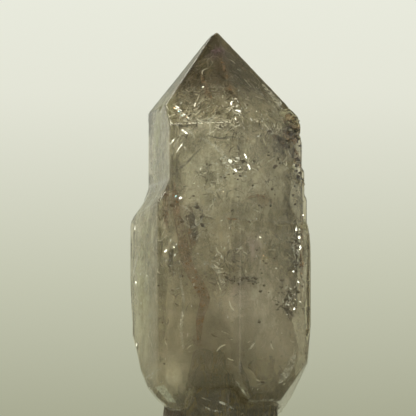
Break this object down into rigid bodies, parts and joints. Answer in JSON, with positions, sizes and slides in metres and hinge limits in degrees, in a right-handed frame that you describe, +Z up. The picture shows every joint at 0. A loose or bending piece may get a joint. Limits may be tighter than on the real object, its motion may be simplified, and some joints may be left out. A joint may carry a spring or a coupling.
{
  "type": "smoky amethyst sceptre point",
  "caption": "Six-sided smoky amethyst point that has overgrown a narrower stem, with a sharp tip, a stepped shoulder and an overhanging skirt.",
  "frame": {"origin": "centre of the bounding box's foot, on the flat cut that ends the stem", "axes": "+Z up along the crystal's c axis towards the tip, -Y towards the picture's viewer, +X to the viewer's right"},
  "size_m": [0.0362, 0.0352, 0.0921],
  "materials": {
    "smoky_amethyst": "clear smoky brown-grey quartz with a violet trace, naturally glossy, with healed cracks and iron-stained veils inside"
  },
  "bodies": {
    "root": {"amethyst_crystal": "smoky_amethyst"}
  },
  "joints": []
}
